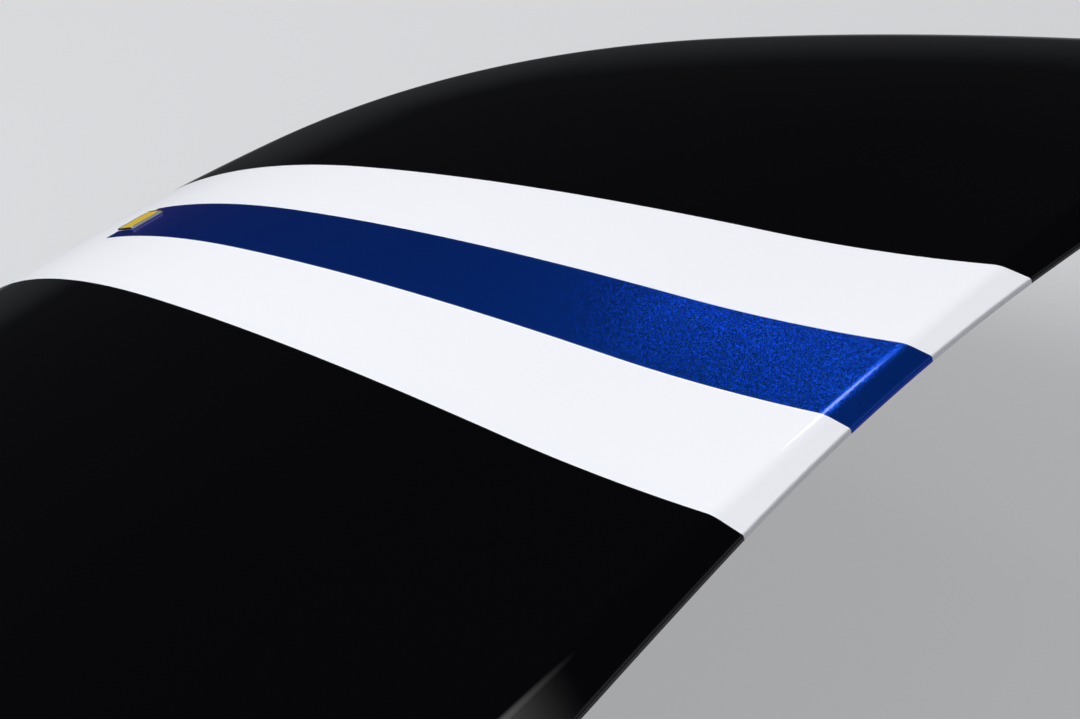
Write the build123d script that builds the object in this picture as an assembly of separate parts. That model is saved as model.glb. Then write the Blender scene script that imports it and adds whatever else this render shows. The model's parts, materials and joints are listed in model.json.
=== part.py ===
from build123d import *
import math
import os

os.makedirs("parts", exist_ok=True)

# Front lid of a sports car, hung on two rear hinges. Sizes in mm.
# X runs to the car's left, the car's front is towards -Y, Z is up.
# The origin is the middle of the four hinge bolts, on the underside of the hinge feet.

# Crown of the outer skin on the centre line, from the rear crest forward.
CREST_Y = -90.0
CREST_Z = 149.0
CREST_SLOPE = 10.9
# columns: length along the skin, radius, 1 for crowned or -1 for hollow
CROWN = [
    (142.0, 1211.0, -1),
    (429.0, 4530.0, 1),
    (646.0, 2150.0, 1),
    (96.0, 270.0, 1),
]
# Camber of the outer skin across the car: a flat middle and rounder sides.
CAMBER_R = 3283.0
CAMBER_HALF = 220.0
SHOULDER_R = 852.0
SKIN_REACH = 640.0
# Lip behind the crest: it turns down over a small bend, then runs straight to the rear edge.
LIP_BEND = 20.5
LIP_BEND_R = 10.0
LIP_BENDS = 8
LIP_REACH = 60.0
LIP_HEM = 2.6

# Plan of the lid, y measured from the crest.
HALF_REAR = 560.0
REAR_MID_Y = 14.9
REAR_BOW_X = 110.0
REAR_BOW_R = 1613.0
HALF_FRONT = 474.0
FRONT_CORNER_Y = -1150.0
FRONT_Y = -1246.0
FRONT_CORNER_R = 90.0

# Sheets: outer skin, inner frame, hem turned over the inner frame's flange.
SKIN_T = 1.2
INNER_T = 1.0
HEM_W = 10.0
HEM_GAP = 0.6
FRAME_DEPTH = 26.0
FRAME_INSET = 30.0
FRAME_REAR_Y = -8.0

# Stripes: white, blue, white, painted over the crest and down to the nose.
STRIPE_HALF = 100.0
BLUE_HALF = 28.5
BLUE_TIP_S = 868.0
FILM_T = 0.25

# Openings in the inner frame between its ribs, y from the crest. The middle ones span the centre line.
# columns: rear y, front y, inner x and outer x at the rear, inner x and outer x at the front
OPENINGS = [
    (-98.0, -292.0, -65.0, 65.0, -65.0, 65.0),
    (-346.0, -556.0, -65.0, 65.0, -64.0, 64.0),
    (-610.0, -820.0, -64.0, 64.0, -62.0, 62.0),
    (-874.0, -1050.0, -62.0, 62.0, -60.0, 60.0),
    (-98.0, -292.0, 160.0, 290.0, 158.0, 286.0),
    (-346.0, -556.0, 157.0, 285.0, 153.0, 279.0),
    (-610.0, -820.0, 152.0, 278.0, 147.0, 271.0),
    (-874.0, -1050.0, 146.0, 270.0, 141.0, 262.0),
]
OPENING_R = 34.0
CORNER_FLATS = 3

# Hinges. Offsets along y and z are measured from the hinge pin.
PIN_Y = 10.0
PIN_Z = 65.0
ARM_X = 400.5
ARM_T = 5.0
ARM_W = 26.0
SIDE_GAP = 5.0
BASE_T = 4.0
PAD_T = 3.5
PIN_R = 6.0
PIN_PLAY = 0.15
BOSS_R = 13.0
PIN_END_PLAY = 0.5
BOLT_X = 447.0
BOLT_HALF_Y = 35.0
BOLT_R = 4.5
FOOT_FRONT = -82.0
FOOT_REAR = 45.0
FOOT_OUT = 470.0

# Gas struts: eye centres from the hinge pin, and the plane they work in.
STRUT_X = 431.0
STRUT_BODY = (-50.0, -36.0)
STRUT_LID = (-440.0, -60.0)
EYE_R = 8.5
EYE_L = 10.0
EYE_PLAY = 0.3
EYE_PIN_R = 4.0
COLLAR_R = 6.5
COLLAR_H = 4.0
CLIP_R = 6.0
CLIP_T = 1.5
COLLAR_GAP = 0.3
BRACKET_R = 17.0
SHANK_R = 4.5
TUBE_R = 9.0
TUBE_WALL = 1.5
ROD_R = 4.0
STROKE_SHOWN = 44.0
ROD_INSIDE = 70.0

# Latch end of the lid, y from the crest.
STRIKER_Y = -1150.0
STRIKER_ALONG = 1.035
STRIKER_WIRE_R = 4.0
STRIKER_HALF = 22.0
STRIKER_DROP = 44.0
STRIKER_BEND = 9.0
HOOK_X = 60.0
HOOK_HALF = 12.0
HOOK_BLADE_X = 50.0
STOP_X = 330.0
STOP_Y = -1115.0
STOP_R = 13.0
STOP_DROP = 86.0
SEAT_GAP = 0.6
SEAL_W = 14.0
SEAL_H = 12.0
SEAL_HALF = 350.0

# Plain badge plate on the blue stripe.
BADGE_S = 841.0
BADGE_W = 34.0
BADGE_L = 40.0
BADGE_T = 2.0


def crown_at(s):
    # point, slope and arc number at a distance s along the centre line
    y = CREST_Y
    z = CREST_Z
    a = math.radians(CREST_SLOPE)
    for length, radius, bend in CROWN:
        step = min(s, length)
        b = a + bend * step / radius
        y -= bend * radius * (math.sin(b) - math.sin(a))
        z += bend * radius * (math.cos(b) - math.cos(a))
        a = b
        s -= step
        if s <= 0:
            break
    return y, z, a


def cross_plane(s):
    # plane across the car, square to the centre line, its z axis forward
    y, z, a = crown_at(s)
    return Plane(origin=(0, y, z), x_dir=(1, 0, 0), z_dir=(0, -math.cos(a), -math.sin(a)))


def camber_point(depth, angle, side):
    # point of the cross section at an angle from the middle, sunk by depth
    joint = math.asin(CAMBER_HALF / CAMBER_R)
    if angle <= joint:
        r = CAMBER_R - depth
        return (side * r * math.sin(angle), r * math.cos(angle) - CAMBER_R)
    r = SHOULDER_R - depth
    cx = (CAMBER_R - SHOULDER_R) * math.sin(joint)
    cz = (CAMBER_R - SHOULDER_R) * math.cos(joint) - CAMBER_R
    return (side * (cx + r * math.sin(angle)), cz + r * math.cos(angle))


def camber_section(s, top, bottom):
    # thin cross section between two depths under the outer surface
    joint = math.asin(CAMBER_HALF / CAMBER_R)
    cx = (CAMBER_R - SHOULDER_R) * math.sin(joint)
    end = math.asin((SKIN_REACH - cx) / SHOULDER_R)
    half = (joint + end) / 2

    def at(depth, angle, side):
        return camber_point(depth, angle, side)

    edges = []
    for depth in (top, bottom):
        edges.append(ThreePointArc(at(depth, end, -1), at(depth, half, -1), at(depth, joint, -1)))
        edges.append(ThreePointArc(at(depth, joint, -1), at(depth, 0, 1), at(depth, joint, 1)))
        edges.append(ThreePointArc(at(depth, joint, 1), at(depth, half, 1), at(depth, end, 1)))
    for side in (-1, 1):
        edges.append(Line(at(top, end, side), at(bottom, end, side)))
    return cross_plane(s) * make_face(edges)


def lip_steps():
    # runs of the lip as (angle, length), the bend first
    bend = math.radians(LIP_BEND)
    step = bend / LIP_BENDS
    runs = []
    for i in range(LIP_BENDS):
        angle = math.radians(CREST_SLOPE) - step * (i + 0.5)
        runs.append((angle, 2 * LIP_BEND_R * math.sin(step / 2)))
    runs.append((math.radians(CREST_SLOPE) - bend, LIP_REACH))
    return runs


def layer(top, bottom, lip=True):
    # sheet between two depths under the outer surface, over the whole lid
    patches = []
    s = 0.0
    for length, radius, bend in CROWN:
        y, z, a = crown_at(s)
        centre = (0, y + bend * radius * math.sin(a), z - bend * radius * math.cos(a))
        turn = Axis(centre, (bend, 0, 0))
        patches.append(revolve(camber_section(s, top, bottom), turn, math.degrees(length / radius)))
        s += length
    if lip:
        face = camber_section(0.0, top, bottom)
        for angle, length in lip_steps():
            way = Vector(0, math.cos(angle), math.sin(angle))
            patches.append(extrude(face, amount=length, dir=way))
            face = Pos(way * length) * face
    return patches[0] + patches[1:]


def prism(face):
    return Pos(0, 0, -500) * extrude(face, amount=1000)


def rear_edge(shift=0.0, half=HALF_REAR):
    # rear edge of the lid from above: bowed in the middle, straight towards both corners
    rise = REAR_BOW_X ** 2 / (2 * REAR_BOW_R)
    bow_y = REAR_MID_Y + rise + shift
    side_y = bow_y + (half - REAR_BOW_X) * REAR_BOW_X / REAR_BOW_R
    return [
        Line((half, side_y), (REAR_BOW_X, bow_y)),
        ThreePointArc((REAR_BOW_X, bow_y), (0, bow_y - rise), (-REAR_BOW_X, bow_y)),
        Line((-REAR_BOW_X, bow_y), (-half, side_y)),
    ]


def lid_plan(inset=0.0, rear=None):
    # outline of the lid from above, drawn in at the edges, cut off behind a rear line if asked
    back = rear_edge()
    corner = back[0] @ 0
    front = ThreePointArc((HALF_FRONT, FRONT_CORNER_Y), (0, FRONT_Y), (-HALF_FRONT, FRONT_CORNER_Y))
    right = Line((HALF_FRONT, FRONT_CORNER_Y), corner)
    left = Line((-corner.X, corner.Y), (-HALF_FRONT, FRONT_CORNER_Y))
    plan = make_face([front, right, *back, left])
    plan = fillet(plan.vertices().sort_by(Axis.Y)[:2], FRONT_CORNER_R)
    if inset:
        plan = offset(plan, amount=-inset)
    if rear is not None:
        # the crest runs back towards the sides as the skin drops there
        joint = math.asin(CAMBER_HALF / CAMBER_R)
        cx = (CAMBER_R - SHOULDER_R) * math.sin(joint)
        drop = -camber_point(0.0, math.asin((HALF_REAR - cx) / SHOULDER_R), 1)[1]
        y_side = rear + drop * math.sin(math.radians(CREST_SLOPE))
        edge = ThreePointArc((-HALF_REAR, y_side), (0, rear), (HALF_REAR, y_side))
        behind = 3 * corner.Y
        plan -= make_face([
            edge,
            Line((HALF_REAR, y_side), (HALF_REAR, behind)),
            Line((HALF_REAR, behind), (-HALF_REAR, behind)),
            Line((-HALF_REAR, behind), (-HALF_REAR, y_side)),
        ])
    return Pos(0, CREST_Y, 0) * plan


def soft_polygon(corners, radius, flats):
    # polygon with each corner rounded by a few flats
    points = []
    for i, corner in enumerate(corners):
        here = Vector(*corner)
        back = (Vector(*corners[i - 1]) - here).normalized()
        ahead = (Vector(*corners[(i + 1) % len(corners)]) - here).normalized()
        half = math.radians(back.get_angle(ahead)) / 2
        middle = here + (back + ahead).normalized() * (radius / math.sin(half))
        start = here + back * (radius / math.tan(half)) - middle
        turn = math.degrees(math.pi - 2 * half)
        way = 1 if back.cross(ahead).Z < 0 else -1
        for k in range(flats + 1):
            points.append(middle + start.rotate(Axis.Z, way * turn * k / flats))
    return make_face(Polyline(*points, points[0]))


def opening_plan(grow):
    # all openings of the inner frame seen from above, grown by a margin
    shapes = []
    for rear, front, in_rear, out_rear, in_front, out_front in OPENINGS:
        corners = [(in_rear, rear), (out_rear, rear), (out_front, front), (in_front, front)]
        one = soft_polygon(corners, OPENING_R, CORNER_FLATS)
        if grow:
            one = offset(one, amount=grow, kind=Kind.INTERSECTION)
        shapes.append(one)
        if in_rear > 0:
            shapes.append(mirror(one, about=Plane.YZ))
    return Pos(0, CREST_Y, 0) * (shapes[0] + shapes[1:])


def both(shape):
    # the shape and its mirror image on the right-hand side
    return Compound(children=list(shape.solids()) + list(mirror(shape, about=Plane.YZ).solids()))


def save(shape, name):
    export_step(shape, "parts/" + name + ".step")


# Outer skin with its hem.
outline = lid_plan()
hem_depth = SKIN_T + HEM_GAP + INNER_T
hem_ring = prism(outline - lid_plan(HEM_W))
edge_ring = prism(outline - lid_plan(SKIN_T))
edge_half = HALF_REAR - HEM_W
lip_edge = rear_edge(0.0, edge_half)
lip_line = rear_edge(-LIP_HEM, edge_half)
lip_ring = Pos(0, CREST_Y, 0) * make_face([
    *lip_edge, Line(lip_edge[2] @ 1, lip_line[2] @ 1), *lip_line, Line(lip_line[0] @ 0, lip_edge[0] @ 0)])
skin = (layer(0, SKIN_T) & prism(outline)) + [
    layer(hem_depth, hem_depth + SKIN_T, lip=False) & hem_ring,
    layer(SKIN_T, hem_depth, lip=False) & edge_ring,
    layer(SKIN_T, SKIN_T * 2.5) & prism(lip_ring),
]
save(skin, "outer_skin")

# Inner frame: flange, outer wall, floor and the turned-up edges of its openings.
flange_plan = lid_plan(SKIN_T + 0.5, rear=FRAME_REAR_Y)
wall_out = lid_plan(FRAME_INSET, rear=FRAME_REAR_Y - FRAME_INSET)
wall_in = offset(wall_out, amount=-INNER_T)
holes = opening_plan(0)
wall_plan = (wall_out - wall_in) + (opening_plan(INNER_T) - holes)
floor_plan = wall_out - holes
floor = layer(FRAME_DEPTH - INNER_T, FRAME_DEPTH, lip=False) & prism(floor_plan)
walls = layer(SKIN_T, FRAME_DEPTH - INNER_T, lip=False) & prism(wall_plan)
flange = layer(SKIN_T, SKIN_T + INNER_T, lip=False) & prism(flange_plan - wall_out)
frame = floor + [walls, flange]
save(frame, "inner_frame")

# Stripe films. The white wraps round the front end of the blue.
film = layer(-FILM_T, 0)
tip_y = crown_at(BLUE_TIP_S)[0]
back_y = CREST_Y + LIP_REACH
front_y = CREST_Y + FRONT_Y - 20
white_plan = Pos(0, (front_y + back_y) / 2) * Rectangle(2 * STRIPE_HALF, back_y - front_y)
blue_plan = Pos(0, (tip_y + back_y) / 2) * Rectangle(2 * BLUE_HALF, back_y - tip_y)
white = film & prism(white_plan & outline)
blue = white & prism(blue_plan)
white = white - prism(blue_plan)
save(white, "stripe_white")
save(blue, "stripe_blue")

# Badge plate, plain and flat on the crown of the blue stripe.
badge_plane = cross_plane(BADGE_S)
badge_flat = Plane(origin=badge_plane.origin, x_dir=(1, 0, 0), z_dir=badge_plane.y_dir)
badge = badge_flat * Pos(0, 0, FILM_T) * extrude(RectangleRounded(BADGE_W, BADGE_L, 3), amount=BADGE_T)
save(badge, "badge_plate")

# Hinge arms: swan-necked plates with a flange lying against the inner frame's floor.
above_floor = layer(-80, FRAME_DEPTH, lip=False)
pads = layer(FRAME_DEPTH, FRAME_DEPTH + PAD_T, lip=False)
pin = Plane.YZ.offset(ARM_X - ARM_T / 2) * Pos(PIN_Y, PIN_Z)
neck = FilletPolyline((0, 0), (-16, -50), (-100, -62), (-140, -16), (-240, -24), radius=20)
arm = extrude(pin * trace(neck, line_width=ARM_W), amount=ARM_T)
arm += extrude(pin * Pos(-192, 2) * Rectangle(100, 60), amount=ARM_T)
arm -= above_floor
pad_x = ARM_X + ARM_T / 2 - 18
pad = Pos(pad_x, PIN_Y - 192) * RectangleRounded(36, 100, 6)
arm += pads & prism(pad)
boss_len = ARM_T + SIDE_GAP + 1.5 - PIN_END_PLAY
arm += extrude(Plane.YZ.offset(ARM_X - ARM_T / 2 - 1.5) * Pos(PIN_Y, PIN_Z) * Circle(BOSS_R), amount=boss_len)
arm -= extrude(pin * Circle(PIN_R + PIN_PLAY), amount=40, both=True)
save(both(arm), "hinge_arms")

# Hinge bases: an upright plate for the pin and the strut's pin, on a bolted foot.
web_x = ARM_X + ARM_T / 2 + SIDE_GAP
foot_z = -PIN_Z
side = Plane.YZ.offset(web_x) * Pos(PIN_Y, PIN_Z)
shape = make_face(Polyline(
    (FOOT_FRONT, foot_z), (FOOT_FRONT, -30), (-62, -12), (-8, 18), (14, 16), (FOOT_REAR, -42),
    (FOOT_REAR, foot_z), (FOOT_FRONT, foot_z)))
shape = fillet(shape.vertices().sort_by(Axis.Y)[2:], 8)
base = extrude(side * shape, amount=BASE_T)
foot_mid = PIN_Y + (FOOT_FRONT + FOOT_REAR) / 2
foot = Box(FOOT_OUT - web_x, FOOT_REAR - FOOT_FRONT, BASE_T, align=(Align.MIN, Align.CENTER, Align.MIN))
foot = Pos(web_x, foot_mid, 0) * foot
foot = fillet(foot.edges().filter_by(Axis.Z).group_by(Axis.X)[-1], 10)
base += foot
base = fillet(base.edges().filter_by(Axis.Y).filter_by_position(Axis.X, web_x + BASE_T - 0.1,
              web_x + BASE_T + 0.1).filter_by_position(Axis.Z, BASE_T - 0.1, BASE_T + 0.1), 4)
for y in (-BOLT_HALF_Y, BOLT_HALF_Y):
    base -= Pos(BOLT_X, y, 0) * Cylinder(BOLT_R, 40)
base -= extrude(side * Circle(PIN_R), amount=20, both=True)
save(both(base), "hinge_bases")

# Hinge pins, riveted through the upright plates.
head = 3.0
pin_in = ARM_X - ARM_T / 2 - 1.5 - PIN_END_PLAY
rivet = extrude(Plane.YZ.offset(pin_in) * Pos(PIN_Y, PIN_Z) * Circle(PIN_R), amount=web_x + BASE_T - pin_in)
for x in (pin_in - head, web_x + BASE_T):
    rivet += extrude(Plane.YZ.offset(x) * Pos(PIN_Y, PIN_Z) * Circle(PIN_R * 1.6), amount=head)
save(both(rivet), "hinge_pins")


def strut_pin(y, z, x_foot):
    # shouldered pin standing outboard on a plate: collar, shank through the eye, clip at its end
    at = Pos(PIN_Y + y, PIN_Z + z)
    clip_x = STRUT_X + EYE_L / 2 + EYE_PLAY
    collar = extrude(Plane.YZ.offset(x_foot) * at * RegularPolygon(COLLAR_R, 6), amount=COLLAR_H)
    shank = extrude(Plane.YZ.offset(x_foot) * at * Circle(EYE_PIN_R), amount=clip_x - x_foot)
    clip = extrude(Plane.YZ.offset(clip_x) * at * Circle(CLIP_R), amount=CLIP_T)
    return collar + [shank, clip]


save(both(strut_pin(*STRUT_BODY, web_x + BASE_T)), "strut_pins_body")

# Strut brackets on the inner frame's floor. The pins in the rods' eyes stand just clear of them.
ly, lz = STRUT_LID
plate_plan = Plane.YZ.offset(web_x) * Pos(PIN_Y + ly, PIN_Z + lz) * (
    Circle(BRACKET_R) + Pos(0, 25) * Rectangle(2 * BRACKET_R, 50) + Pos(0, 38) * Rectangle(64, 24))
plate = extrude(plate_plan, amount=BASE_T) - above_floor
pad = Pos(web_x + BASE_T - 20, PIN_Y + ly) * RectangleRounded(40, 64, 6)
plate += pads & prism(pad)
save(both(plate), "strut_brackets")
lid_pin = strut_pin(*STRUT_LID, web_x + BASE_T + COLLAR_GAP)
save(lid_pin, "strut_pin_left")
save(mirror(lid_pin, about=Plane.YZ), "strut_pin_right")

# Struts, built along their own axis from the body eye, then laid between the pins.
dy = ly - STRUT_BODY[0]
dz = lz - STRUT_BODY[1]
strut_len = math.hypot(dy, dz)
strut_line = Plane(
    origin=(STRUT_X, PIN_Y + STRUT_BODY[0], PIN_Z + STRUT_BODY[1]),
    x_dir=(1, 0, 0), z_dir=(0, dy, dz))


def eye():
    # ring across the strut, with a short shank along +Z
    ring = Rot(0, 90, 0) * Cylinder(EYE_R, EYE_L)
    shank = upright(SHANK_R, 0, EYE_R + 6)
    return ring + shank - Rot(0, 90, 0) * Cylinder(EYE_PIN_R + EYE_PLAY, 2 * EYE_L)


def upright(radius, start, length):
    return Pos(0, 0, start) * Cylinder(radius, length, align=(Align.CENTER, Align.CENTER, Align.MIN))


tube_start = EYE_R + 4
tube_end = strut_len - STROKE_SHOWN
tube = upright(TUBE_R, tube_start, tube_end - tube_start)
tube = chamfer(tube.edges().filter_by(GeomType.CIRCLE), 1.5)
tube -= upright(TUBE_R - TUBE_WALL, tube_start + 4, tube_end - tube_start - 12)
tube -= upright(ROD_R + EYE_PLAY, tube_end - 20, 40)
cylinder = strut_line * (tube + eye())
rod_start = tube_end - ROD_INSIDE
rod = upright(ROD_R, rod_start, strut_len - EYE_R - 4 - rod_start)
rod += upright(TUBE_R - TUBE_WALL - EYE_PLAY, rod_start, 8)
rod += Pos(0, 0, strut_len) * Rot(180, 0, 0) * eye()
rod = strut_line * rod
for name, shape in (("cylinder", cylinder), ("rod", rod)):
    save(shape, "strut_" + name + "_left")
    save(mirror(shape, about=Plane.YZ), "strut_" + name + "_right")

# Striker: a wire hoop on a flat plate under the nose, and the safety hook beside it.
nose_plane = cross_plane(-STRIKER_Y * STRIKER_ALONG)
under = Plane(origin=nose_plane.origin, x_dir=(1, 0, 0), z_dir=nose_plane.y_dir * -1)
under = under.offset(FRAME_DEPTH + SEAT_GAP)
striker = under * extrude(RectangleRounded(90, 46, 8), amount=PAD_T)
leg_l = STRIKER_DROP - STRIKER_BEND
bar_half = STRIKER_HALF - STRIKER_BEND
hoop = Polyline(
    (STRIKER_HALF, 0, 0), (STRIKER_HALF, 0, leg_l), (bar_half, 0, STRIKER_DROP),
    (-bar_half, 0, STRIKER_DROP), (-STRIKER_HALF, 0, leg_l), (-STRIKER_HALF, 0, 0))
wire = sweep(Pos(STRIKER_HALF, 0, 0) * Circle(STRIKER_WIRE_R), path=hoop, transition=Transition.RIGHT)
striker += under * wire
save(striker, "striker")

# The floor curves away under the flat pad of the hook, which seats at its outer edge.
hook_seat = under.offset((HOOK_X + HOOK_HALF) ** 2 / (2 * CAMBER_R))
hook_plan = make_face(Polyline(
    (-9, 0), (-9, -50), (-26, -50), (-26, -62), (9, -62), (9, 0), (-9, 0)))
hook_plan = chamfer(hook_plan.vertices().group_by(Axis.Y)[0], 4)
hook = extrude(Plane.YZ.offset(HOOK_BLADE_X) * hook_plan, amount=PAD_T)
hook = Plane(origin=hook_seat.origin, x_dir=(1, 0, 0), z_dir=hook_seat.z_dir * -1) * hook
hook += hook_seat * Pos(HOOK_X, 0) * extrude(RectangleRounded(2 * HOOK_HALF, 40, 4), amount=PAD_T)
save(hook, "safety_hook")

# Rubber stops near the front corners, flat at their lower ends.
stop_y = CREST_Y + STOP_Y
stop_low = crown_at(-STOP_Y)[1] - STOP_DROP
stop = Pos(STOP_X, stop_y, stop_low) * Cylinder(STOP_R, 100, align=(Align.CENTER, Align.CENTER, Align.MIN))
save(both(stop - above_floor), "rubber_stops")

# Seal strip along the rear of the floor.
seal_rear = FRAME_REAR_Y - FRAME_INSET - 4
seal_plan = lid_plan(FRAME_INSET + 4, rear=seal_rear) - lid_plan(FRAME_INSET + 4, rear=seal_rear - SEAL_W)
seal_plan = seal_plan & (Pos(0, CREST_Y) * Rectangle(2 * SEAL_HALF, -3 * seal_rear))
seal = layer(FRAME_DEPTH, FRAME_DEPTH + SEAL_H, lip=False) & prism(seal_plan)
save(seal, "rear_seal")
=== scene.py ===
import json
import math

import bmesh
import bpy
import numpy as np
from mathutils import Matrix, Vector


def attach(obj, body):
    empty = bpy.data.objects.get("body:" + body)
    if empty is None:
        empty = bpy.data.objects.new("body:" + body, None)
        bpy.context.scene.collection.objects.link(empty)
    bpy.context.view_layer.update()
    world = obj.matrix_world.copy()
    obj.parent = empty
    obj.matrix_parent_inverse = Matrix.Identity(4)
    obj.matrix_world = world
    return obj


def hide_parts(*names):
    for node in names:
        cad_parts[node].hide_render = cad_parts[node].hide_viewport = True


# Front lid of a sports car. Metres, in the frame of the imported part:
# +X is the car's left, -Y its front, +Z up, the origin between the hinge bolts.

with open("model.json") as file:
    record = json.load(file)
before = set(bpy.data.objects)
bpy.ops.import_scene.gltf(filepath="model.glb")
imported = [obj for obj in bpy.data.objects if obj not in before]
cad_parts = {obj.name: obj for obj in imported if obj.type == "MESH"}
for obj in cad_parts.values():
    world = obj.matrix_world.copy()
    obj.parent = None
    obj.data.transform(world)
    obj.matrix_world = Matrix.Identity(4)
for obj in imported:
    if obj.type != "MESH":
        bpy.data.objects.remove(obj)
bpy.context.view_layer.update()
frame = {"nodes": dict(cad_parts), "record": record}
scene = bpy.context.scene
scene.view_settings.view_transform = "Standard"
MM = 0.001


# Helpers

def linear(code):
    # sRGB hex value to linear colour
    values = []
    for i in (0, 2, 4):
        c = int(code[i:i + 2], 16) / 255
        values.append(c / 12.92 if c <= 0.04045 else ((c + 0.055) / 1.055) ** 2.4)
    return (values[0], values[1], values[2], 1.0)


def add(tree, kind, inputs=None, **settings):
    # a node with its settings; an input is a value, a pair of node and output name, or a list of such pairs
    node = tree.nodes.new(kind)
    for name, value in settings.items():
        setattr(node, name, value)
    for name, value in (inputs or {}).items():
        for item in value if isinstance(value, list) else [value]:
            if isinstance(item, tuple) and isinstance(item[0], bpy.types.Node):
                tree.links.new(item[0].outputs[item[1]], node.inputs[name])
            else:
                node.inputs[name].default_value = item
    return node


def new_material(name):
    material = bpy.data.materials.new(name)
    material.use_nodes = True
    tree = material.node_tree
    tree.nodes.clear()
    return material, tree


def close_material(material, inputs):
    # every finish ends in one principled shader
    shader = add(material.node_tree, "ShaderNodeBsdfPrincipled", inputs)
    add(material.node_tree, "ShaderNodeOutputMaterial", {"Surface": (shader, "BSDF")})
    return material


# Materials

def per_metre(millimetres):
    # pattern scale for a feature of that size
    return 1000.0 / millimetres


def grained(tree, size, detail, strength, depth, **more):
    # slight unevenness of a surface, its size and depth in millimetres
    coords = add(tree, "ShaderNodeTexCoord")
    grain = add(tree, "ShaderNodeTexNoise", {
        "Vector": (coords, "Object"), "Scale": per_metre(size), "Detail": detail})
    bump = add(tree, "ShaderNodeBump", {
        "Height": (grain, "Fac"), "Strength": strength, "Distance": depth * MM, **more})
    return bump, "Normal"


def clouded(tree, size, low, high):
    # roughness that wanders over patches of a size in millimetres; each end is a noise level and a roughness
    coords = add(tree, "ShaderNodeTexCoord")
    cloud = add(tree, "ShaderNodeTexNoise", {
        "Vector": (coords, "Object"), "Scale": per_metre(size), "Detail": 4.0})
    ramp = add(tree, "ShaderNodeValToRGB", {"Fac": (cloud, "Fac")})
    for element, (level, roughness) in zip(ramp.color_ramp.elements, (low, high)):
        element.position = level
        element.color = (roughness, roughness, roughness, 1.0)
    return ramp, "Color"


def lacquer(name, code, peel, coat):
    # Two-pack body lacquer, sprayed and polished: a deep even colour under a clear wet-looking coat
    # that carries a trace of orange peel.
    material, tree = new_material(name)
    return close_material(material, {
        "Base Color": linear(code), "Roughness": 0.45, "IOR": 1.5, "Specular IOR Level": 0.0,
        "Coat Weight": coat, "Coat Roughness": 0.03, "Coat IOR": 1.5,
        "Coat Normal": grained(tree, 6.0, 1.0, peel, 0.02)})


def blue_metallic():
    # Metallic basecoat, sprayed: aluminium flakes lie nearly flat in blue lacquer, so each one flashes in
    # its own direction and the colour runs from bright to navy. Flakes of 0.03 mm are drawn 0.52 mm wide
    # to show at all. The sheen stands for the violet that a pearl in the lacquer shows at a low angle.
    material, tree = new_material("blue_metallic_basecoat")
    coords = add(tree, "ShaderNodeTexCoord")
    flakes = add(tree, "ShaderNodeTexVoronoi", {"Vector": (coords, "Object"), "Scale": per_metre(0.52)})
    centred = add(tree, "ShaderNodeVectorMath", {
        0: (flakes, "Color"), 1: (0.5, 0.5, 0.5)}, operation="SUBTRACT")
    # cubed, so that most flakes lie nearly flat and a few stand up
    squared = add(tree, "ShaderNodeVectorMath", {
        0: (centred, "Vector"), 1: (centred, "Vector")}, operation="MULTIPLY")
    cubed = add(tree, "ShaderNodeVectorMath", {
        0: (squared, "Vector"), 1: (centred, "Vector")}, operation="MULTIPLY")
    tilt = add(tree, "ShaderNodeVectorMath", {0: (cubed, "Vector"), "Scale": 0.72}, operation="SCALE")
    surface = add(tree, "ShaderNodeNewGeometry")
    tilted = add(tree, "ShaderNodeVectorMath", {0: (surface, "Normal"), 1: (tilt, "Vector")})
    normal = add(tree, "ShaderNodeVectorMath", {0: (tilted, "Vector")}, operation="NORMALIZE")
    return close_material(material, {
        "Base Color": linear("1050C6"), "Metallic": 0.85, "Roughness": 0.27, "IOR": 1.5,
        "Specular Tint": linear("7A10D2"), "Normal": (normal, "Vector"),
        "Sheen Weight": 0.12, "Sheen Roughness": 0.25, "Sheen Tint": linear("A020C0"),
        "Coat Weight": 0.25, "Coat Roughness": 0.04, "Coat IOR": 1.5})


def satin_primer():
    # Electrocoat primer as inside a lid: dark grey, half matt, slightly uneven where the spray thinned out.
    material, tree = new_material("satin_grey_primer")
    return close_material(material, {
        "Base Color": linear("595B60"), "Roughness": clouded(tree, 60.0, (0.35, 0.38), (0.65, 0.5)),
        "IOR": 1.5, "Normal": grained(tree, 1.2, 2.0, 0.3, 0.05)})


def electrocoat(name, code, roughness):
    # Electrocoat on pressed steel: even satin black that shows a little of the steel's texture.
    material, tree = new_material(name)
    edge = add(tree, "ShaderNodeBevel", {"Radius": 0.8 * MM}, samples=4)
    return close_material(material, {
        "Base Color": linear(code), "Roughness": roughness, "IOR": 1.5,
        "Normal": grained(tree, 0.8, 3.0, 0.25, 0.04, Normal=(edge, "Normal"))})


def plated(name, code, metallic, roughness, mottle):
    # Plated steel: bright metal, clouded where the plating took unevenly; zinc is dulled by its passivation.
    material, tree = new_material(name)
    edge = add(tree, "ShaderNodeBevel", {"Radius": 0.6 * MM}, samples=4)
    return close_material(material, {
        "Base Color": linear(code), "Metallic": metallic, "Normal": (edge, "Normal"),
        "Roughness": clouded(tree, 9.0, (0.3, roughness - mottle), (0.7, roughness + mottle))})


def moulded_rubber():
    # EPDM rubber, moulded: matt charcoal with a fine grain.
    material, tree = new_material("moulded_rubber")
    return close_material(material, {
        "Base Color": linear("1C1C1D"), "Roughness": 0.75, "IOR": 1.5,
        "Normal": grained(tree, 0.6, 2.0, 0.4, 0.08)})


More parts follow.
